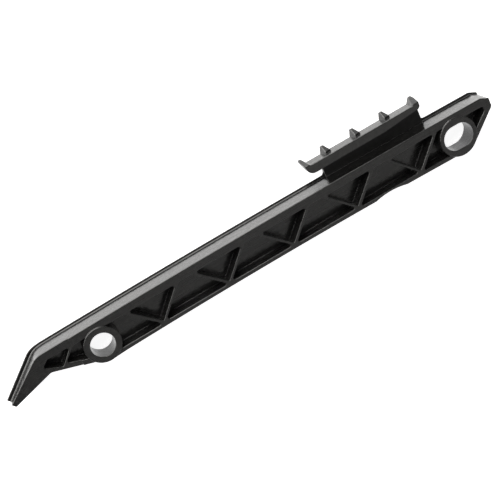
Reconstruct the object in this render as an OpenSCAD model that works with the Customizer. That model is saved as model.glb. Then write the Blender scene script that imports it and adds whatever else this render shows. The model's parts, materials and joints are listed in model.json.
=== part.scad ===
// Timing chain guide: one black moulded rail, ribbed on both sides of a web, that lies on its back.
// X runs along the rail, Y is the way the running face looks, Z points to the deeply ribbed side.
// The origin is on the axis of the pivot bore, in the plane of the seat around it.

/* [Rail] */
// Distance between the axes of the two fixing bores
span = 200; // [180:1:230]
// Height of the rail's front above the seat
side_t = 9.2; // [8:0.1:12]
// Depth of the rail's back below the seat
back_t = 2.7; // [1.5:0.1:4]
// Height of the running face above the pivot axis, at the top of its bow
run_h = 12.4; // [11:0.1:14]
// Radius of the long bow of the running face
bow_r = 6500; // [4000:100:12000]
// Place of the top of the bow along the rail
bow_x = 93; // [80:1:110]
// Depth of the underside below the pivot axis, at the top of its hollow
belly_h = 8; // [7:0.1:8.8]
// Radius of the long hollow of the underside
belly_r = 3400; // [2800:100:8000]
// Place of the top of the hollow along the rail
belly_x = 88; // [75:1:105]
// Thickness of the flange under the running face
flange_t = 4.3; // [3:0.1:5.5]
// Thickness of the flange along the underside
foot_t = 2.1; // [1.4:0.1:3]
// Thickness of the web between the front and the back pockets
web_t = 2.3; // [1.5:0.1:4]

/* [Ribs] */
// Number of V ribs between the two bosses
v_count = 5; // [4:1:6]
// Distance of the first V's point from the pivot axis
v_first = 30.2; // [26:0.1:34]
// Distance of the last V's point from the slot axis
v_last = 24.2; // [22:0.1:28]
// Half width of a V at its open end, to the middle of its arms
v_reach = 13.9; // [10:0.1:15]
// Thickness of a rib
rib_t = 1.3; // [0.8:0.1:2]
// Radius in the corners of the pockets
pocket_round = 0.9; // [0.3:0.1:1.5]

/* [Pivot bore] */
// Diameter of the pivot bore
bore_d = 12.1; // [8:0.1:14]
// Outer diameter of the pivot boss
boss_d = 18.4; // [17.6:0.1:20]
// Height of both bosses above the seat
boss_t = 9.8; // [9.3:0.1:13]
// Width of the seat ring around each bore, sunk into the back
seat_w = 1.4; // [0.8:0.1:1.8]

/* [Slotted bore] */
// Width of the slotted bore, across the rail
slot_w = 12.5; // [8:0.1:14]
// Distance between the centres of the slot's two round ends
slot_travel = 3.6; // [1:0.1:5]
// Distance of the slot's axis below the pivot axis
slot_drop = 0.5; // [0:0.1:1.5]
// Outer diameter of the slot's boss
slot_boss_d = 20.4; // [19:0.1:22]

/* [Track lip] */
// Height of the lip above the running face
lip_h = 1.2; // [0.8:0.1:3]
// Height of the lip along the nose
nose_lip_h = 2; // [1:0.1:3]
// Thickness of the lip
lip_t = 0.7; // [0.5:0.1:1.5]

/* [Nose] */
// Distance of the bend of the running face from the pivot axis
nose_bend = 29.4; // [28:0.1:36]
// Angle by which the nose falls away
nose_angle = 35.6; // [30:0.1:42]
// Radius of the bend
bend_r = 9; // [4:0.5:14]
// Length of the nose from the bend to its tip
nose_len = 25.7; // [22:0.1:32]
// Thickness of the nose at its tip
tip_t = 2.45; // [1.5:0.05:4]
// Radius of the tip's lower corner
tip_round = 0.6; // [0.2:0.1:1]
// Distance of the hollow corner under the nose from the pivot axis
heel_x = 27; // [24:0.1:29]
// Height of the hollow corner under the nose
heel_y = 0.5; // [-1:0.1:2]
// Radius of the hollow corner under the nose
heel_round = 3; // [1:0.1:5]
// Angle at which the underside falls from the hollow corner to the pivot boss
heel_slope = 18.6; // [15:0.1:20]
// Amount by which the nose is thinner than the rail
nose_step = 0.8; // [0.2:0.1:1.5]
// Distance of that step from the pivot axis
nose_step_x = 12.5; // [10.5:0.1:15]
// Thickness of the nose between its running face and its pocket
nose_wall = 5.6; // [4:0.1:7]
// Thickness of the flange under the nose pockets
nose_foot_t = 3; // [2:0.1:4]
// Distance of the top of the nose rib from the pivot axis
nose_rib_x = 12.6; // [11.5:0.1:15]
// Angle at which the back of the nose slants towards its tip
nose_taper = 12.4; // [5:0.1:14]
// Distance from the bend to the start of that slant
taper_run = 4; // [1:0.5:6]

/* [Tail] */
// Reach of the tail past the slot axis
tail_reach = 21.9; // [20:0.1:28]
// Length of the running face past the slot axis before it falls away
tail_flat = 12.5; // [11:0.1:16]
// Angle by which the running face falls away at the tail
tail_fall = 12.8; // [5:0.1:20]
// Angle of the tail's sloping underside
tail_slope = 40; // [36:0.5:44]
// Thickness of the flange along the tail's underside
tail_foot_t = 2.7; // [2:0.1:4]
// Thickness of the tail's end behind its pocket
tail_wall = 4.6; // [3:0.1:6]
// Radius of the tail's lower corner
tail_round = 1.6; // [0.5:0.1:2.5]

/* [Underside notch] */
// Distance of the shallow notch in the underside from the slot axis
notch_gap = 43; // [38:0.5:60]
// Width of the notch
notch_w = 18; // [10:0.5:24]
// Height of the notch
notch_h = 1.2; // [0.5:0.1:1.4]

/* [Bracket wall] */
// Distance of the wall's end from the slot axis
wall_gap = 10.6; // [10.3:0.1:20]
// Length of the wall
wall_len = 56.1; // [40:0.1:70]
// Thickness of the wall
wall_t = 2.2; // [1.8:0.1:3]
// Radius of the fillets between the wall and the lip
wall_fillet = 2; // [0.5:0.1:4]

/* [Bracket tray] */
// Clear height of the chain's path under the tray
tray_lift = 6.9; // [6:0.1:12]
// Thickness of the tray
tray_t = 4.6; // [3:0.1:6]
// Depth of the tray from the back to its front face
tray_d = 7; // [5:0.1:9]
// Overhang of the tray past the wall, on the nose side
tray_over = 7.7; // [4:0.1:12]
// Length of the lifted stretch of the tray's underside at the tail side
kick_len = 21; // [10:0.5:30]
// Rise of that lifted stretch
kick_rise = 1.9; // [0.5:0.1:3]
// Radius of the tray's lower corner on the nose side
tray_round = 4; // [1:0.1:4.5]
// Radius of the tray's lower corner on the tail side
kick_round = 2; // [0.5:0.1:3]
// Height of the turned-up ends above the tray
end_h = 2.9; // [1.5:0.1:4]
// Thickness of the turned-up ends
end_t = 1.9; // [1.2:0.1:3]
// Lean of the turned-up ends: of the whole end on the nose side, of the inner face on the tail side
end_lean = 1.9; // [0:0.1:2.4]
// Radius of the tips of the turned-up ends
end_round = 0.8; // [0.2:0.1:0.8]
// Radius where the turned-up ends leave the tray
end_fillet = 0.9; // [0.3:0.1:2]
// Number of fins between the ends
fin_count = 3; // [1:1:3]
// Distance from fin to fin
fin_pitch = 16.9; // [12:0.1:17.5]
// Height of a fin at the back
fin_h = 3.5; // [1.5:0.1:4.5]
// Height of a fin at its blunt front
fin_front_h = 0.9; // [0.4:0.1:1.4]
// Depth of a fin
fin_d = 4; // [2.5:0.1:4.8]
// Depth of the level stretch at the top of a fin
fin_level = 1; // [0.5:0.1:2]
// Angle by which a fin is turned in plan, with its front towards the tail
fin_turn = 18; // [0:1:25]
// Width of a fin at its top
fin_top_w = 1.6; // [1:0.1:2.5]
// Width of a fin at its foot
fin_foot_w = 3.8; // [2.6:0.1:5]

/* [Hidden] */

$fn = 96;
// Straight steps along each of the two long arcs
long_steps = 24;
// Straight steps in a rounded corner
corner_steps = 5;
// Largest share of an outline's edge that the arc of one corner takes up
corner_share = 0.45;
// Radius under which a corner stays sharp
sharp_r = 0.01;
// Margin by which a cut runs past the face that it opens
past = 1;
// Length that reaches past the whole rail
far = 2 * span;

bow_c = [bow_x, run_h - bow_r];
belly_c = [belly_x, -belly_h - belly_r];
slot_c = [span, -slot_drop];
v_pitch = (span - v_first - v_last) / (v_count - 1);

function bow_y(x) = bow_c.y + sqrt(bow_r * bow_r - (x - bow_x) * (x - bow_x));
function belly_y(x) = belly_c.y + sqrt(belly_r * belly_r - (x - belly_x) * (x - belly_x));
function bow_point(x, rise) = bow_c + (bow_r + rise) * unit([x, bow_y(x)] - bow_c);
function pocket_top(x) = bow_y(x) - flange_t;
function pocket_foot(x) = belly_y(x) + foot_t;
function unit(v) = v / norm(v);
function meet(p, u, q, v) = p + u * cross(q - p, v) / cross(u, v);
function steps(from, to) = [for (i = [0:long_steps]) from + (to - from) * i / long_steps];

// Nose: its line starts at the bend, and its frame points up the slope and out of the running face
nose_from = [-nose_bend, bow_y(-nose_bend)];
nose_up = [cos(nose_angle), sin(nose_angle)];
nose_out = [-sin(nose_angle), cos(nose_angle)];
nose_t = side_t - nose_step;

// Centre of the bend's arc, which touches the nose's line and the bow
bend_start = nose_from - bend_r * nose_out - bow_c;
bend_dot = bend_start * nose_up;
bend_gap = bend_start * bend_start - pow(bow_r - bend_r, 2);
bend_c = bow_c + bend_start + nose_up * (sqrt(bend_dot * bend_dot - bend_gap) - bend_dot);
bow_out = unit(bend_c - bow_c);

// Line of the lip's top along the nose, and the corner that it makes with the bow
bow_along = [bow_out.y, -bow_out.x];
lip_from = nose_from + nose_lip_h * nose_out;
lip_tip = lip_from - 2 * nose_len * nose_up;
lip_corner = meet(lip_from, nose_up, bow_point(-nose_bend, lip_h), bow_along);

// Nose tip, heel and the line of the underside between the heel and the pivot boss
tip_low = nose_from - nose_len * nose_up - tip_t * nose_out;
heel = [-heel_x, heel_y];
function heel_line(x) = heel_y - (x + heel_x) * tan(heel_slope);

// Tail: its sloping underside touches the slot's boss
tail_x = span + tail_reach;
tail_from = [span + tail_flat, bow_y(span + tail_flat)];
tail_end = tail_from + 2 * tail_reach * [cos(tail_fall), -sin(tail_fall)];
tail_down = [sin(tail_slope), -cos(tail_slope)];
tail_touch = slot_c + slot_boss_d / 2 * tail_down;
function tail_low(x, inset) =
    let (p = tail_touch - inset * tail_down)
    p.y + (x - p.x) * tan(tail_slope);

// Bracket
wall_end = span - wall_gap;
wall_start = wall_end - wall_len;
tray_start = wall_start - tray_over;
tray_foot = bow_y((wall_start + wall_end) / 2) + tray_lift;
tray_top = tray_foot + tray_t;

// One corner of an outline, given as [x, y, radius], as the points of its arc
function corner_arc(a, b, c) =
    let (p = [b.x, b.y], u = [a.x, a.y] - p, v = [c.x, c.y] - p)
    let (half = acos(unit(u) * unit(v)) / 2)
    let (r = min(b.z, corner_share * min(norm(u), norm(v)) * tan(half)))
    let (mid = p + unit(unit(u) + unit(v)) * r / sin(half))
    let (s = p + unit(u) * r / tan(half) - mid)
    let (turn = sign(cross(u, v)) * (2 * half - 180))
    r < sharp_r ? [p] : [
        for (i = [0:corner_steps])
            let (t = turn * i / corner_steps)
            mid + [s.x * cos(t) - s.y * sin(t), s.x * sin(t) + s.y * cos(t)]
    ];

// A closed outline of [x, y, radius] corners as plain points
function rounded(path) =
    let (n = len(path))
    [for (i = [0:n - 1]) each corner_arc(path[(i + n - 1) % n], path[i], path[(i + 1) % n])];

// The half plane on the inner side of a line through a point, moved out by rise
module half_plane(from, angle, rise) {
    translate(from)
        rotate(angle)
            translate([-far, -far])
                square([2 * far, far + rise]);
}

// Everything under the running face, with the face moved out by rise
module under_track(rise) {
    past_bend = 3 * bend_r;
    difference() {
        intersection() {
            polygon(concat(
                [for (x = steps(-nose_bend - nose_len, tail_x + nose_len)) bow_point(x, rise)],
                [[far, -far], [-far, -far]]
            ));
            half_plane(nose_from, nose_angle, rise);
            half_plane(tail_from, -tail_fall, rise);
        }
        difference() {
            polygon([
                bend_c,
                bend_c + past_bend * nose_out,
                bend_c + 2 * past_bend * unit(nose_out + bow_out),
                bend_c + past_bend * bow_out
            ]);
            translate(bend_c) circle(r = bend_r + rise);
        }
    }
}

// The ends and the underside of the rail, open above
module underside() {
    high = tip_low + far / 2 * nose_out;
    polygon(rounded(concat(
        [
            [tip_low.x, tip_low.y, tip_round],
            [heel.x, heel.y, heel_round],
            [0, heel_line(0), 0]
        ],
        [for (x = steps(0, span)) [x, belly_y(x), 0]],
        [
            [slot_c.x, slot_c.y, 0],
            [tail_touch.x, tail_touch.y, 0],
            [tail_x, tail_low(tail_x, 0), tail_round],
            [tail_x, high.y, 0],
            [high.x, high.y, 0]
        ]
    )));
}

module notch() {
    notch_r = (notch_w * notch_w / 4 + notch_h * notch_h) / (2 * notch_h);
    x = span - notch_gap;
    translate([x, belly_y(x) + notch_h - notch_r]) circle(r = notch_r);
}

// Side view of both bosses
module boss_discs() {
    circle(d = boss_d);
    translate(slot_c) circle(d = slot_boss_d);
}

// Side view of the solid rail
module rail_outline() {
    difference() {
        union() {
            intersection() {
                under_track(0);
                underside();
            }
            boss_discs();
        }
        notch();
    }
}

// Side view of the lip, from inside the flange to its top
module lip_outline() {
    intersection() {
        difference() {
            polygon(rounded(concat(
                [[lip_tip.x, lip_tip.y, 0], [lip_corner.x, lip_corner.y, bend_r + lip_h]],
                [
                    for (x = steps(-nose_bend + bend_r, span + tail_flat))
                        let (p = bow_point(x, lip_h))
                        [p.x, p.y, 0]
                ],
                [[tail_end.x, tail_end.y + lip_h, 0], [far, -far, 0], [-far, -far, 0]]
            )));
            under_track(-flange_t / 2);
        }
        underside();
    }
}

// Pockets between the V ribs, each a triangle inside a V or a trapezium between two Vs
module truss_pockets() {
    for (k = [0:v_count]) {
        x = v_first + k * v_pitch;
        left = k == 0 ? 0 : x - v_pitch;
        right = k == v_count ? span : x;
        foot = pocket_foot((left + right) / 2);
        top = pocket_top((left + right) / 2);
        side = rib_t / 2 * norm([v_reach, top - foot]) / (top - foot);
        reach_left = k == 0 ? 0 : v_reach + side;
        reach_right = k == v_count ? 0 : v_reach + side;
        foot_left = k == 0 ? 0 : side;
        foot_right = k == v_count ? 0 : side;
        polygon(rounded([
            [left + foot_left, foot, pocket_round],
            [right - foot_right, foot, pocket_round],
            [right - reach_right, top, pocket_round],
            [left + reach_left, top, pocket_round]
        ]));
        if (k < v_count) {
            v_foot = pocket_foot(x);
            v_top = pocket_top(x);
            v_side = rib_t / 2 * norm([v_reach, v_top - v_foot]) / (v_top - v_foot);
            polygon(rounded([
                [x, v_foot + v_side * (v_top - v_foot) / v_reach, pocket_round / 2],
                [x + v_reach - v_side, v_top, pocket_round],
                [x - v_reach + v_side, v_top, pocket_round]
            ]));
        }
    }
}

// The two pockets of the nose, on either side of its slanting rib
module nose_pockets() {
    top = pocket_top(-nose_rib_x);
    fall = (top - heel_line(-nose_rib_x) - nose_foot_t) / 2;
    rib_half = rib_t / sqrt(2);
    foot_y = heel_line(-nose_rib_x - fall) + nose_foot_t;
    left_foot = [-nose_rib_x - (top - foot_y), foot_y];
    nose_in = nose_from - nose_wall * nose_out;
    nose_top_x = nose_in.x + (top - nose_in.y) / tan(nose_angle);
    meet_x = (nose_in.y - nose_in.x * tan(nose_angle) - heel_line(0) - nose_foot_t)
        / (-tan(heel_slope) - tan(nose_angle));
    polygon(rounded([
        [left_foot.x - rib_half, left_foot.y, pocket_round],
        [-nose_rib_x - rib_half, top, pocket_round],
        [nose_top_x, top, pocket_round],
        [meet_x, heel_line(meet_x) + nose_foot_t, pocket_round]
    ]));
    polygon(rounded([
        [left_foot.x + rib_half, heel_line(left_foot.x + rib_half) + nose_foot_t, pocket_round],
        [0, heel_line(0) + nose_foot_t, 0],
        [0, top, 0],
        [-nose_rib_x + rib_half, top, pocket_round]
    ]));
}

// The pocket of the tail, between the slot's boss and the sloping end
module tail_pocket() {
    x = tail_x - tail_wall;
    polygon(rounded([
        [span, pocket_top(span), 0],
        [span, tail_low(span, tail_foot_t), 0],
        [x, tail_low(x, tail_foot_t), pocket_round],
        [x, pocket_top(x), pocket_round]
    ]));
}

module pockets() {
    difference() {
        union() {
            truss_pockets();
            nose_pockets();
            tail_pocket();
        }
        boss_discs();
    }
}

// Children placed on the back, where the nose's slant starts, with X up the slope of the nose
module at_slant() {
    translate([nose_from.x, nose_from.y, -back_t])
        rotate(nose_angle)
            translate([taper_run, 0, 0])
                children();
}

// The space behind the slanted back of the nose
module behind_nose() {
    at_slant() rotate([0, nose_taper, 0]) translate([-far, -far / 2, -far]) cube(far);
}

// The solid rail: a thinner nose, pockets on both sides and two bosses that stand a little proud
module rail_body() {
    difference() {
        translate([0, 0, -back_t]) linear_extrude(back_t + side_t) rail_outline();
        translate([-far - nose_step_x, -far / 2, nose_t]) cube([far, far, nose_step + past]);
        translate([0, 0, web_t]) linear_extrude(side_t) pockets();
        translate([0, 0, -back_t - past]) linear_extrude(back_t + past) pockets();
        behind_nose();
    }
    translate([0, 0, -back_t]) linear_extrude(back_t + boss_t) boss_discs();
}

// The lip along the back edge of the running face, which follows the slant of the nose
module track_lip() {
    intersection() {
        translate([0, 0, -back_t]) linear_extrude(back_t + side_t) lip_outline();
        at_slant() {
            translate([0, -far, 0]) cube([2 * far, 2 * far, lip_t]);
            rotate([0, nose_taper, 0]) translate([-far, -far, 0]) cube([far, 2 * far, lip_t]);
        }
    }
}

// Fillet in the corner where the wall leaves the lip, towards side +1 or -1
module wall_fillet_piece(x, side) {
    base = bow_y(x) + lip_h;
    difference() {
        translate([side > 0 ? x : x - wall_fillet, base - lip_h / 2])
            square([wall_fillet, wall_fillet + lip_h / 2]);
        translate([x + side * wall_fillet, base + wall_fillet]) circle(r = wall_fillet);
    }
}

module bracket_wall() {
    base = bow_y(wall_start) - flange_t / 2;
    linear_extrude(wall_t)
        translate([wall_start, base]) square([wall_len, tray_foot + tray_t / 2 - base]);
    linear_extrude(lip_t) {
        wall_fillet_piece(wall_start, -1);
        wall_fillet_piece(wall_end, 1);
    }
}

// Front view of the tray: a sled with its ends turned up
module tray_outline() {
    tip = tray_top + end_h;
    polygon(rounded([
        [tray_start, tray_foot, tray_round],
        [wall_end - kick_len, tray_foot, 0],
        [wall_end, tray_foot + kick_rise, kick_round],
        [wall_end, tip, end_round],
        [wall_end - end_t, tip, end_round],
        [wall_end - end_t - end_lean, tray_top, end_fillet],
        [tray_start + end_t, tray_top, end_fillet],
        [tray_start + end_t - end_lean, tip, end_round],
        [tray_start - end_lean, tip, end_round]
    ]));
}

// A shape drawn in depth, with its points as [Y, Z], made wide along X
module across(from, wide) {
    translate([from, 0, 0]) rotate([90, 0, 90]) linear_extrude(wide) children();
}

module tray() {
    intersection() {
        linear_extrude(tray_d) tray_outline();
        across(tray_start - end_lean - past, wall_len + tray_over + end_lean + 2 * past)
            polygon([
                [tray_foot - past, 0],
                [tray_top + end_h + past, 0],
                [tray_top + end_h, tray_d / 4],
                [tray_top + end_h / 4, tray_d],
                [tray_foot - past, tray_d]
            ]);
    }
}

// One fin at the origin: tall at the back, blunt at the front, wider at its foot
module fin_shape() {
    root = tray_top - tray_t / 2;
    root_half = fin_foot_w / 2 + (fin_foot_w - fin_top_w) / (2 * fin_h) * tray_t / 2;
    intersection() {
        across(-fin_foot_w, 2 * fin_foot_w)
            polygon([
                [root, -fin_foot_w],
                [tray_top + fin_h, -fin_foot_w],
                [tray_top + fin_h, fin_level],
                [tray_top + fin_front_h, fin_d],
                [root, fin_d]
            ]);
        translate([0, 0, -fin_foot_w])
            linear_extrude(fin_foot_w + fin_d)
                polygon([
                    [-root_half, root],
                    [root_half, root],
                    [fin_top_w / 2, tray_top + fin_h],
                    [-fin_top_w / 2, tray_top + fin_h]
                ]);
    }
}

// One fin on the tray, turned in plan and cut off flush with the tray's back
module fin(x) {
    intersection() {
        translate([x, 0, 0]) rotate([0, fin_turn, 0]) fin_shape();
        translate([tray_start, 0, 0]) cube([wall_end - tray_start, tray_top + fin_h + past, tray_d]);
    }
}

module bracket() {
    translate([0, 0, -back_t]) {
        bracket_wall();
        tray();
        for (k = [1:fin_count]) fin(wall_end - end_t / 2 - k * fin_pitch);
    }
}

// The round pivot bore, with its seat sunk into the back
module pivot_bore() {
    translate([0, 0, -past]) cylinder(d = bore_d, h = boss_t + 2 * past);
    translate([0, 0, -back_t - past]) cylinder(d = bore_d + 2 * seat_w, h = back_t + past);
}

// Side view of a slot of a given width around the slot's axis
module slot_outline(wide) {
    translate(slot_c) {
        translate([-slot_travel / 2, 0]) circle(d = wide);
        translate([slot_travel / 2, 0]) circle(d = wide);
        square([slot_travel, wide], center = true);
    }
}

// The slotted bore at the tail, with its seat sunk into the back
module slotted_bore() {
    translate([0, 0, -past]) linear_extrude(boss_t + 2 * past) slot_outline(slot_w);
    translate([0, 0, -back_t - past]) linear_extrude(back_t + past) slot_outline(slot_w + 2 * seat_w);
}

module guide_rail() {
    color("#2c2b2a")
        difference() {
            union() {
                rail_body();
                track_lip();
                bracket();
            }
            pivot_bore();
            slotted_bore();
        }
}

guide_rail();
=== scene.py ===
import json
from math import radians

import bpy
from mathutils import Matrix, Vector


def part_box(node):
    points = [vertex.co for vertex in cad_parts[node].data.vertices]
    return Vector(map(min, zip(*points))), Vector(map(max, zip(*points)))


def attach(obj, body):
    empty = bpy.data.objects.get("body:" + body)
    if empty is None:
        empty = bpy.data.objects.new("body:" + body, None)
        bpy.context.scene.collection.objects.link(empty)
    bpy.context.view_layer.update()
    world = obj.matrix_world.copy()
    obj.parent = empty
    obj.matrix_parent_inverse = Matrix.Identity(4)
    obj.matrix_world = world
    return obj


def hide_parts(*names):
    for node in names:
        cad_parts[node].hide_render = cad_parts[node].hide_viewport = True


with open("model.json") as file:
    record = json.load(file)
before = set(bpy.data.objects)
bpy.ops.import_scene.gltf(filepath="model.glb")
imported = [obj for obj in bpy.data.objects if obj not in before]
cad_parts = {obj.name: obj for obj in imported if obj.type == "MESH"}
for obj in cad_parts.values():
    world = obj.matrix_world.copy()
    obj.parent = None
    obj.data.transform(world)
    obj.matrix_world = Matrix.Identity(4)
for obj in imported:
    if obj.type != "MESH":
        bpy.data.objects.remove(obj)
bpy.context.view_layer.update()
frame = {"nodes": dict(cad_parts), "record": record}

bl_info = {
    "name": "Timing chain guide",
    "version": (1, 0, 0),
    "blender": (4, 5, 0),
    "location": "3D View > Sidebar > Chain guide",
    "description": "Dresses the moulded chain guide and sets up its studio",
    "category": "Object",
}

RAIL_NODE = "guide_rail"
BODY = "root"

LOW, HIGH = (Vector(corner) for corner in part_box(RAIL_NODE))
MOUNTS = {mount["name"]: mount for mount in frame["record"]["mounts"]}
RUN_HEIGHT = MOUNTS["chain_face"]["pos_m"][1]
PIVOT_X = MOUNTS["pivot_bore"]["pos_m"][0]
SLOT_X = MOUNTS["slot_bore"]["pos_m"][0]
# Most that the running face and its lip have fallen at the tail
TAIL_DROP = 0.0045
# Direction of the running face at the tail
TAIL_RUN = Vector((1.0, -0.0184, 0.0))
# Height above the back below which an edge belongs to the lip or the back
LIP_REACH = 0.0015
# Distance that the bow of the running face stays within
TRACK_BAND = 0.002
# Upward part of the normal above which a face lies level, or is the front of the lip
LEVEL = 0.9995
LIP_UP = 0.9
# Least outward and most upward part of the running face's normal, on the rail and on the nose
RUN_OUT = 0.8
RUN_LEAN = 0.2
NOSE_OUT = 0.5
NOSE_LEAN = 0.3
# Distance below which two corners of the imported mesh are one, and two places lie together
WELD = 0.000002
NEAR = 0.00005
# Turn between the triangles of one flat, and the turn up to which the shading runs on
FLAT_TURN = radians(0.04)
SMOOTH_TURN = radians(34)
# Faces across a rounding
ROUND_STEPS = 3

# Polish of a face against the other faces; the matt value is painted shade, which dulls the wall under
# the tray so that it renders dark
POLISHED = 1.0
# Painted shade: the wall under the tray loses its coat and turns rougher, so that it renders dark as if
# the tray shaded it
PAINTED_SHADE_MATT = -3.0
# What full polish adds to the coat and to the roughness; the painted shade's negative value takes coat
# away and adds roughness
POLISH_COAT = 0.22
POLISH_ROUGHNESS = -0.07
# Lowest and highest coat and roughness, and the noise values where the bloom starts and is full
COAT = (0.38, 0.76)
ROUGHNESS = (0.22, 0.34)
BLOOM = (0.38, 0.72)
# Middle range of a noise
NOISE_RANGE = (0.3, 0.7)
# Noise waves per metre, and the depth of those that stand up from the surface
CLOUD_WAVES = 420.0
GLOSS_WAVES = 1100.0
FLOW_WAVES = 520.0
RIPPLE_WAVES = 500.0
MARK_WAVES = 2600.0
GRAIN_WAVES = 5200.0
RIPPLE_DEPTH = 0.0001
MARK_DEPTH = 0.000012
GRAIN_DEPTH = 0.000008
# Stretch of the flow and of the slide marks along the rail
LENGTHWISE = (0.1, 1.0, 1.0)

# Heights on the sky between which the white horizon fades, and the camera's sensor in millimetres
HORIZON = (0.18, 0.5)
SENSOR = 36.0

# Name, offset from the rail's middle, side and power of each soft lamp
LAMPS = (
    ("top", Vector((0.26, -0.62, 0.85)), 1.0, 1.25),
    ("side", Vector((-0.87, 0.42, 0.24)), 0.8, 6.0),
    ("back", Vector((-0.25, 0.95, 0.38)), 1.2, 22.0),
)


class RailSettings(bpy.types.PropertyGroup):
    """Edges and plastic of the moulded rail"""

    edge_round: bpy.props.FloatProperty(
        name="Edge round",
        description="Radius on the moulding's outer edges",
        default=0.0004,
        unit="LENGTH",
    )
    foot_fillet: bpy.props.FloatProperty(
        name="Lip fillet",
        description="Radius of the fillet between the running face and its lip",
        default=0.0006,
        unit="LENGTH",
    )
    thin_round: bpy.props.FloatProperty(
        name="Thin edge round",
        description="Radius on the thin lip, on the back and in hollow corners",
        default=0.0002,
        unit="LENGTH",
    )
    rim_round: bpy.props.FloatProperty(
        name="Rim round",
        description="Radius on the rims of both bosses",
        default=0.00036,
        unit="LENGTH",
    )
    tail_flat: bpy.props.FloatProperty(
        name="Straight tail",
        description="Length by which the running face runs on before it falls away at the tail",
        default=0.005,
        unit="LENGTH",
    )
    sharp_angle: bpy.props.FloatProperty(
        name="Sharp angle",
        description="Edges that turn by more than this are rounded",
        default=radians(28),
        subtype="ANGLE",
    )
    plastic: bpy.props.FloatVectorProperty(
        name="Plastic",
        description="Colour of the black plastic",
        default=(0.0022, 0.00215, 0.0021),
        size=3,
        subtype="COLOR",
    )
    bloom: bpy.props.FloatVectorProperty(
        name="Bloom",
        description="Colour where glass fibre greys the skin of the moulding",
        default=(0.0085, 0.0083, 0.0079),
        size=3,
        subtype="COLOR",
    )


class StageSettings(bpy.types.PropertyGroup):
    """Camera, lamps and floor"""

    eye: bpy.props.FloatVectorProperty(
        name="Eye",
        description="Place of the camera",
        default=(0.02114, 0.20401, 0.45045),
        size=3,
        subtype="TRANSLATION",
    )
    aim: bpy.props.FloatVectorProperty(
        name="Aim",
        description="Point that the camera looks at",
        default=(0.08339, -0.00053, 0.0),
        size=3,
        subtype="TRANSLATION",
    )
    roll: bpy.props.FloatProperty(
        name="Roll",
        description="Turn of the camera about its own axis",
        default=radians(-27.17),
        subtype="ANGLE",
    )
    lens: bpy.props.FloatProperty(
        name="Lens",
        description="Focal length in millimetres, on a 36 mm sensor",
        default=73.86,
    )
    floor_size: bpy.props.FloatProperty(
        name="Floor size",
        description="Side of the square floor",
        default=6.0,
        unit="LENGTH",
    )
    floor_color: bpy.props.FloatVectorProperty(
        name="Floor",
        description="Colour of the pale floor",
        default=(0.8, 0.8, 0.8),
        size=3,
        subtype="COLOR",
    )
    floor_glow: bpy.props.FloatProperty(
        name="Floor glow",
        description="White that the floor adds for the eye, gloss and glass",
        default=0.9,
    )
    overhead: bpy.props.FloatProperty(
        name="Overhead",
        description="Brightness of the room straight above",
        default=0.08,
    )
    lamp_color: bpy.props.FloatVectorProperty(
        name="Lamps",
        description="Colour of the lamps",
        default=(1.0, 0.985, 0.955),
        size=3,
        subtype="COLOR",
    )


def deselect_all():
    """Leave edit mode and select nothing"""
    if bpy.context.object and bpy.context.object.mode != "OBJECT":
        bpy.ops.object.mode_set(mode="OBJECT")
    bpy.ops.object.select_all(action="DESELECT")


def make_active(piece):
    """Select one object alone"""
    deselect_all()
    piece.select_set(True)
    bpy.context.view_layer.objects.active = piece


def add_node(tree, kind, inputs=None, **values):
    """A node with its own values and the values of its unlinked inputs"""
    node = tree.nodes.new(kind)
    for key, value in values.items():
        setattr(node, key, value)
    for key, value in (inputs or {}).items():
        node.inputs[key].default_value = value
    return node


def new_material(name):
    """An empty node material and its tree"""
    material = bpy.data.materials.new(name)
    material.use_nodes = True
    material.node_tree.nodes.clear()
    return material, material.node_tree


def merged_copy(node_name, piece_name):
    """A copy of a node's mesh with its triangles joined and its flat faces whole"""
    source = frame["nodes"][node_name]
    piece = bpy.data.objects.new(piece_name, source.data.copy())
    piece.data.materials.clear()
    bpy.context.collection.objects.link(piece)
    make_active(piece)
    bpy.ops.object.mode_set(mode="EDIT")
    bpy.ops.mesh.select_all(action="SELECT")
    bpy.ops.mesh.remove_doubles(threshold=WELD)
    bpy.ops.mesh.dissolve_limited(angle_limit=FLAT_TURN)
    bpy.ops.mesh.remove_doubles(threshold=NEAR)
    bpy.ops.mesh.normals_make_consistent(inside=False)
    bpy.ops.object.mode_set(mode="OBJECT")
    return piece


def straighten_tail(piece, settings):
    """Move the break at the tail's end along the running face"""
    make_active(piece)
    bpy.ops.object.mode_set(mode="EDIT")
    bpy.ops.mesh.select_all(action="DESELECT")
    bpy.ops.object.mode_set(mode="OBJECT")
    lowest = RUN_HEIGHT - TAIL_DROP
    track = [v for v in piece.data.vertices if v.co.x > SLOT_X and v.co.y > lowest]
    tail_end = max(vertex.co.x for vertex in track)
    break_x = max(vertex.co.x for vertex in track if vertex.co.x < tail_end - NEAR)
    for vertex in track:
        vertex.select = abs(vertex.co.x - break_x) < NEAR
    bpy.ops.object.mode_set(mode="EDIT")
    bpy.ops.transform.translate(value=settings.tail_flat * TAIL_RUN)
    bpy.ops.object.mode_set(mode="OBJECT")


def into_face(mesh, edge, face):
    """Direction from an edge into one of its faces"""
    first, second = edge.vertices
    order = list(face.vertices)
    follows = order[(order.index(first) + 1) % len(order)] == second
    along = mesh.vertices[second].co - mesh.vertices[first].co
    return face.normal.cross(along if follows else -along)


def is_lip_foot(middle, faces):
    """Whether a hollow corner lies between the running face and the lip"""
    track, lip = sorted(faces, key=lambda face: face.normal.z)
    facing = abs(track.normal.z) < NOSE_LEAN and track.normal.y > NOSE_OUT and lip.normal.z > LIP_UP
    on_nose = middle.x < PIVOT_X and lip.normal.z < LEVEL
    return facing and (on_nose or middle.z < LOW.z + LIP_REACH)


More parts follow.
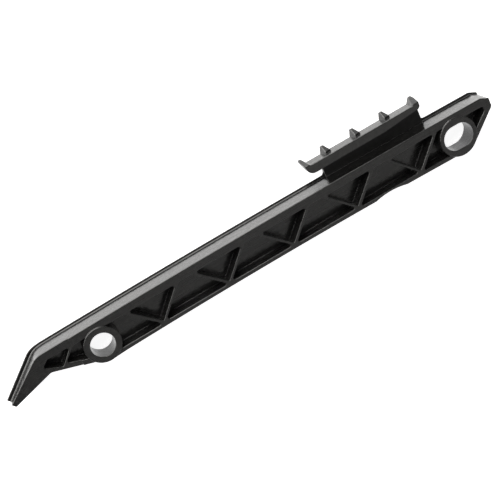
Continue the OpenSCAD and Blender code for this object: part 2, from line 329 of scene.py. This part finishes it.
def edge_radius(mesh, edge, faces, settings):
    """Radius of the rounding on one sharp edge"""
    middle = sum((mesh.vertices[i].co for i in edge.vertices), Vector()) / 2
    hollow = into_face(mesh, edge, faces[1]).dot(faces[0].normal) > 0
    if hollow and is_lip_foot(middle, faces):
        return settings.foot_fillet
    if middle.z > HIGH.z - NEAR:
        return settings.rim_round
    if hollow or middle.z < LOW.z + LIP_REACH:
        return settings.thin_round
    return settings.edge_round


def weigh_edges(piece, settings):
    """Give each sharp edge its share of the widest rounding"""
    mesh = piece.data
    faces_of_edge = {edge.key: [] for edge in mesh.edges}
    for polygon in mesh.polygons:
        for key in polygon.edge_keys:
            faces_of_edge[key].append(polygon)
    weights = mesh.attributes.new("bevel_weight_edge", "FLOAT", "EDGE")
    for edge in mesh.edges:
        faces = faces_of_edge[edge.key]
        if len(faces) != 2:
            raise RuntimeError("The rail's mesh isn't closed")
        if faces[0].normal.angle(faces[1].normal) > settings.sharp_angle:
            radius = edge_radius(mesh, edge, faces, settings)
            weights.data[edge.index].value = radius / settings.foot_fillet


def face_polish_and_shade(face):
    """Polish of the running face and of the tray's front, and painted shade that makes the wall under the
    tray matt so that it renders dark
    """
    height = face.center.y - RUN_HEIGHT
    outward = face.normal.y > RUN_OUT and abs(face.normal.z) < RUN_LEAN
    if outward and abs(height) < TRACK_BAND:
        return POLISHED
    if face.normal.z > LEVEL and height > TRACK_BAND:
        # The wall under the tray gets painted shade instead of polish
        return POLISHED if face.center.z > 0.0 else PAINTED_SHADE_MATT
    return 0.0


def mark_polish_and_shade(piece):
    """Store the polish and the painted shade of each face for the plastic to read"""
    polish_and_shade = piece.data.attributes.new("polish_and_shade", "FLOAT", "FACE")
    for face in piece.data.polygons:
        polish_and_shade.data[face.index].value = face_polish_and_shade(face)


def round_edges(piece, settings):
    """Round every weighted edge and keep the flats flat"""
    make_active(piece)
    bevel = piece.modifiers.new("Edges", "BEVEL")
    bevel.limit_method = "WEIGHT"
    bevel.width = settings.foot_fillet
    bevel.segments = ROUND_STEPS
    bevel.use_clamp_overlap = False
    bevel.loop_slide = False
    bevel.miter_outer = "MITER_ARC"
    bpy.ops.object.modifier_apply(modifier=bevel.name)
    bpy.ops.object.shade_smooth_by_angle(angle=SMOOTH_TURN)
    flats = piece.modifiers.new("Flats", "WEIGHTED_NORMAL")
    flats.keep_sharp = True
    bpy.ops.object.modifier_apply(modifier=flats.name)


def noise(tree, vector, scale, detail):
    """The value of a noise on given coordinates"""
    node = add_node(tree, "ShaderNodeTexNoise", {"Scale": scale, "Detail": detail})
    tree.links.new(vector, node.inputs["Vector"])
    return node.outputs["Fac"]


def remap(tree, value, source, target, **values):
    """A value of one range spread over another range"""
    limits = dict(zip(("From Min", "From Max", "To Min", "To Max"), (*source, *target)))
    node = add_node(tree, "ShaderNodeMapRange", limits, **values)
    tree.links.new(value, node.inputs["Value"])
    return node.outputs["Result"]


def add_polish_and_shade(tree, value, polish_and_shade, amount, **values):
    """A value with a share of the polish and the painted shade added"""
    node = add_node(tree, "ShaderNodeMath", {1: amount}, operation="MULTIPLY_ADD", **values)
    tree.links.new(polish_and_shade, node.inputs[0])
    tree.links.new(value, node.inputs[2])
    return node.outputs["Value"]


def bump(tree, height, distance, under=None):
    """A bump of a given depth, over another one"""
    node = add_node(tree, "ShaderNodeBump", {"Strength": 1.0, "Distance": distance})
    tree.links.new(height, node.inputs["Height"])
    if under:
        tree.links.new(under, node.inputs["Normal"])
    return node.outputs["Normal"]


def moulded_plastic(settings):
    """Black glass-filled plastic with a clouded skin, flow marks, ripple and a fine grain"""
    material, tree = new_material("moulded_plastic")
    link = tree.links.new
    output = add_node(tree, "ShaderNodeOutputMaterial")
    shine = {"IOR": 1.53, "Coat Roughness": 0.12}
    skin = add_node(tree, "ShaderNodeBsdfPrincipled", shine)
    link(skin.outputs["BSDF"], output.inputs["Surface"])

    place = add_node(tree, "ShaderNodeTexCoord").outputs["Object"]
    stretch = add_node(tree, "ShaderNodeMapping", {"Scale": LENGTHWISE})
    link(place, stretch.inputs["Vector"])
    lengthwise = stretch.outputs["Vector"]
    # Polish of the running face and the tray's front, and painted shade that strips the coat off the wall
    # under the tray
    polish_and_shade = add_node(tree, "ShaderNodeAttribute", attribute_name="polish_and_shade").outputs["Fac"]

    tint = add_node(tree, "ShaderNodeValToRGB")
    for stop, position, color in zip(tint.color_ramp.elements, BLOOM, (settings.plastic, settings.bloom)):
        stop.position = position
        stop.color = (*color, 1.0)
    link(noise(tree, place, CLOUD_WAVES, detail=6.0), tint.inputs["Fac"])
    link(tint.outputs["Color"], skin.inputs["Base Color"])

    gloss = remap(tree, noise(tree, place, GLOSS_WAVES, detail=4.0), NOISE_RANGE, COAT)
    coat = add_polish_and_shade(tree, gloss, polish_and_shade, POLISH_COAT, use_clamp=True)
    link(coat, skin.inputs["Coat Weight"])
    flow = remap(tree, noise(tree, lengthwise, FLOW_WAVES, detail=3.0), NOISE_RANGE, ROUGHNESS)
    link(add_polish_and_shade(tree, flow, polish_and_shade, POLISH_ROUGHNESS), skin.inputs["Roughness"])

    ripple = bump(tree, noise(tree, place, RIPPLE_WAVES, detail=3.0), RIPPLE_DEPTH)
    marks = add_node(tree, "ShaderNodeMath", operation="MULTIPLY", use_clamp=True)
    link(noise(tree, lengthwise, MARK_WAVES, detail=2.0), marks.inputs[0])
    link(polish_and_shade, marks.inputs[1])
    slid = bump(tree, marks.outputs["Value"], MARK_DEPTH, ripple)
    relief = bump(tree, noise(tree, place, GRAIN_WAVES, detail=2.0), GRAIN_DEPTH, slid)
    link(relief, skin.inputs["Normal"])
    link(relief, skin.inputs["Coat Normal"])
    return material


class GUIDE_OT_rail(bpy.types.Operator):
    """Round the moulded rail's edges and give it its plastic"""

    bl_idname = "guide.rail"
    bl_label = "Moulded rail"

    def execute(self, context):
        settings = context.scene.guide_rail
        piece = merged_copy(RAIL_NODE, "moulded_rail")
        straighten_tail(piece, settings)
        weigh_edges(piece, settings)
        round_edges(piece, settings)
        mark_polish_and_shade(piece)
        piece.data.materials.append(moulded_plastic(settings))
        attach(piece, BODY)
        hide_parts(RAIL_NODE)
        return {"FINISHED"}


def pale_floor(settings):
    """Pale floor that stays white to the eye, to gloss and to glass, and keeps a soft shadow"""
    material, tree = new_material("pale_floor")
    link = tree.links.new
    output = add_node(tree, "ShaderNodeOutputMaterial")
    paint = add_node(tree, "ShaderNodeBsdfDiffuse", {"Color": (*settings.floor_color, 1.0)})
    glow = add_node(tree, "ShaderNodeEmission")
    both = add_node(tree, "ShaderNodeAddShader")
    path = add_node(tree, "ShaderNodeLightPath")
    seen = path.outputs["Is Camera Ray"]
    for kind in ("Is Glossy Ray", "Is Transmission Ray"):
        either = add_node(tree, "ShaderNodeMath", operation="MAXIMUM")
        link(seen, either.inputs[0])
        link(path.outputs[kind], either.inputs[1])
        seen = either.outputs["Value"]
    level = add_node(tree, "ShaderNodeMath", {1: settings.floor_glow}, operation="MULTIPLY")
    link(seen, level.inputs[0])
    link(level.outputs["Value"], glow.inputs["Strength"])
    link(paint.outputs["BSDF"], both.inputs[0])
    link(glow.outputs["Emission"], both.inputs[1])
    link(both.outputs["Shader"], output.inputs["Surface"])
    return material


def studio_world(settings):
    """A room that is white round the horizon and dim overhead"""
    world = bpy.data.worlds.new("studio")
    world.use_nodes = True
    tree = world.node_tree
    tree.nodes.clear()
    link = tree.links.new
    height = add_node(tree, "ShaderNodeSeparateXYZ")
    link(add_node(tree, "ShaderNodeTexCoord").outputs["Generated"], height.inputs["Vector"])
    levels = (1.0, settings.overhead)
    fade = remap(tree, height.outputs["Z"], HORIZON, levels, interpolation_type="SMOOTHSTEP")
    sky = add_node(tree, "ShaderNodeBackground", {"Color": (1.0, 1.0, 1.0, 1.0)})
    link(fade, sky.inputs["Strength"])
    output = add_node(tree, "ShaderNodeOutputWorld")
    link(sky.outputs["Background"], output.inputs["Surface"])
    return world


def area_lamp(name, place, target, size, power, color):
    """Hang a soft square lamp that looks at a point"""
    lamp = bpy.data.lights.new(name, "AREA")
    lamp.color = color
    lamp.size = size
    lamp.energy = power
    holder = bpy.data.objects.new(name, lamp)
    bpy.context.collection.objects.link(holder)
    holder.location = place
    holder.rotation_euler = (target - place).to_track_quat("-Z", "Y").to_euler()


class GUIDE_OT_stage(bpy.types.Operator):
    """Set up the floor, the soft lamps and the camera"""

    bl_idname = "guide.stage"
    bl_label = "Studio"

    def execute(self, context):
        scene = context.scene
        settings = scene.guide_stage
        middle = (LOW + HIGH) / 2

        deselect_all()
        bpy.ops.mesh.primitive_plane_add(size=settings.floor_size, location=(middle.x, middle.y, LOW.z))
        floor = context.object
        floor.name = "floor"
        bpy.ops.object.transform_apply(location=True)
        floor.data.materials.append(pale_floor(settings))

        for name, offset, size, power in LAMPS:
            area_lamp(name, middle + offset, middle, size, power, settings.lamp_color)
        scene.world = studio_world(settings)

        lens = bpy.data.cameras.new("camera")
        lens.sensor_fit = "HORIZONTAL"
        lens.sensor_width = SENSOR
        lens.lens = settings.lens
        lens.clip_start = 0.01
        camera = bpy.data.objects.new("camera", lens)
        context.collection.objects.link(camera)
        eye = Vector(settings.eye)
        view = (Vector(settings.aim) - eye).normalized()
        side = Vector((0.0, 1.0, 0.0)).cross(-view).normalized()
        upright = Matrix((side, (-view).cross(side), -view)).transposed()
        turn = Matrix.Rotation(settings.roll, 3, -view)
        camera.matrix_world = Matrix.Translation(eye) @ (turn @ upright).to_4x4()
        scene.camera = camera
        scene.view_settings.view_transform = "Standard"
        return {"FINISHED"}


class GUIDE_PT_panel(bpy.types.Panel):
    """Lists the steps that make the guide"""

    bl_label = "Chain guide"
    bl_idname = "GUIDE_PT_panel"
    bl_space_type = "VIEW_3D"
    bl_region_type = "UI"
    bl_category = "Chain guide"

    def draw(self, context):
        for operator in (GUIDE_OT_rail, GUIDE_OT_stage):
            self.layout.operator(operator.bl_idname)
        for settings in (context.scene.guide_rail, context.scene.guide_stage):
            box = self.layout.box()
            for name in settings.bl_rna.properties.keys():
                if name not in ("rna_type", "name"):
                    box.prop(settings, name)


CLASSES = (RailSettings, StageSettings, GUIDE_OT_rail, GUIDE_OT_stage, GUIDE_PT_panel)


def register():
    """Add the settings, the steps and the panel to Blender"""
    for cls in CLASSES:
        bpy.utils.register_class(cls)
    bpy.types.Scene.guide_rail = bpy.props.PointerProperty(type=RailSettings)
    bpy.types.Scene.guide_stage = bpy.props.PointerProperty(type=StageSettings)


def unregister():
    """Take the panel, the steps and the settings out again"""
    del bpy.types.Scene.guide_stage
    del bpy.types.Scene.guide_rail
    for cls in reversed(CLASSES):
        bpy.utils.unregister_class(cls)


def main():
    """Make the guide and its studio"""
    register()
    bpy.ops.guide.rail()
    bpy.ops.guide.stage()


if __name__ == "__main__":
    main()
